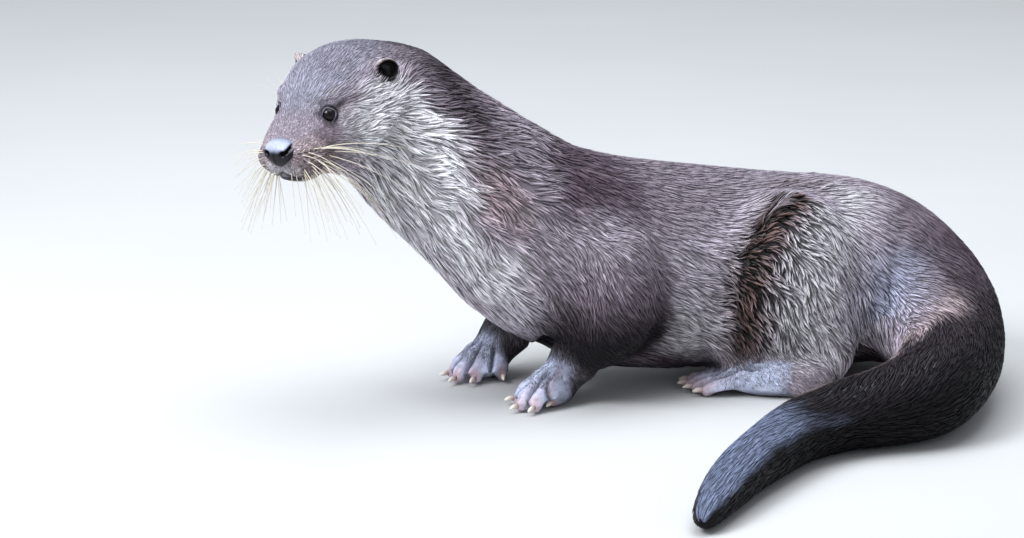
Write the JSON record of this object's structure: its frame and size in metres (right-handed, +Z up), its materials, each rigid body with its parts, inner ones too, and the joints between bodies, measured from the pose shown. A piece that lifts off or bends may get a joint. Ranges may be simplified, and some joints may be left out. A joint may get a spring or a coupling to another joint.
{
  "type": "river otter",
  "caption": "Life-size still model of a river otter crouched on all fours, neck raised, head turned to its left, thick tail curled round on the floor.",
  "frame": {"origin": "on the floor, under the middle of the bounding box", "axes": "+Z up; the trunk lies along X with the head towards -X; the animal's left side and its curled tail face -Y"},
  "size_m": [0.5788, 0.5296, 0.2837],
  "materials": {
    "coat": "damp grey-brown fur lying flat",
    "face_coat": "short grey fur, silvery on the cheek and throat",
    "ear": "thin furred skin with a pale rim",
    "paw_skin": "damp grey skin, pinker on the toes",
    "nose_pad": "pebbled and moist",
    "eye": "wet and glossy",
    "claw": "ivory horn",
    "whisker": "pale cream, stiff and tapered"
  },
  "bodies": {
    "root": {"neck": "coat", "trunk": "coat", "tail_base": "coat", "tail_middle": "coat", "tail_tip": "coat", "foreleg_left": "coat", "hind_leg_left": "coat", "foreleg_right": "coat", "hind_leg_right": "coat", "head": "face_coat", "lower_jaw": "face_coat", "ear_left": "ear", "ear_right": "ear", "forepaw_left": "paw_skin", "forepaw_right": "paw_skin", "hind_foot_left": "paw_skin", "hind_foot_right": "paw_skin", "nose": "nose_pad", "eye_left": "eye", "eye_right": "eye", "claw_forepaw_left_1": "claw", "claw_forepaw_left_2": "claw", "claw_forepaw_left_3": "claw", "claw_forepaw_left_4": "claw", "claw_forepaw_left_5": "claw", "claw_forepaw_right_1": "claw", "claw_forepaw_right_2": "claw", "claw_forepaw_right_3": "claw", "claw_forepaw_right_4": "claw", "claw_forepaw_right_5": "claw", "claw_hind_foot_left_1": "claw", "claw_hind_foot_left_2": "claw", "claw_hind_foot_left_3": "claw", "claw_hind_foot_left_4": "claw", "claw_hind_foot_left_5": "claw", "claw_hind_foot_right_1": "claw", "claw_hind_foot_right_2": "claw", "claw_hind_foot_right_3": "claw", "claw_hind_foot_right_4": "claw", "claw_hind_foot_right_5": "claw"}
  },
  "joints": []
}
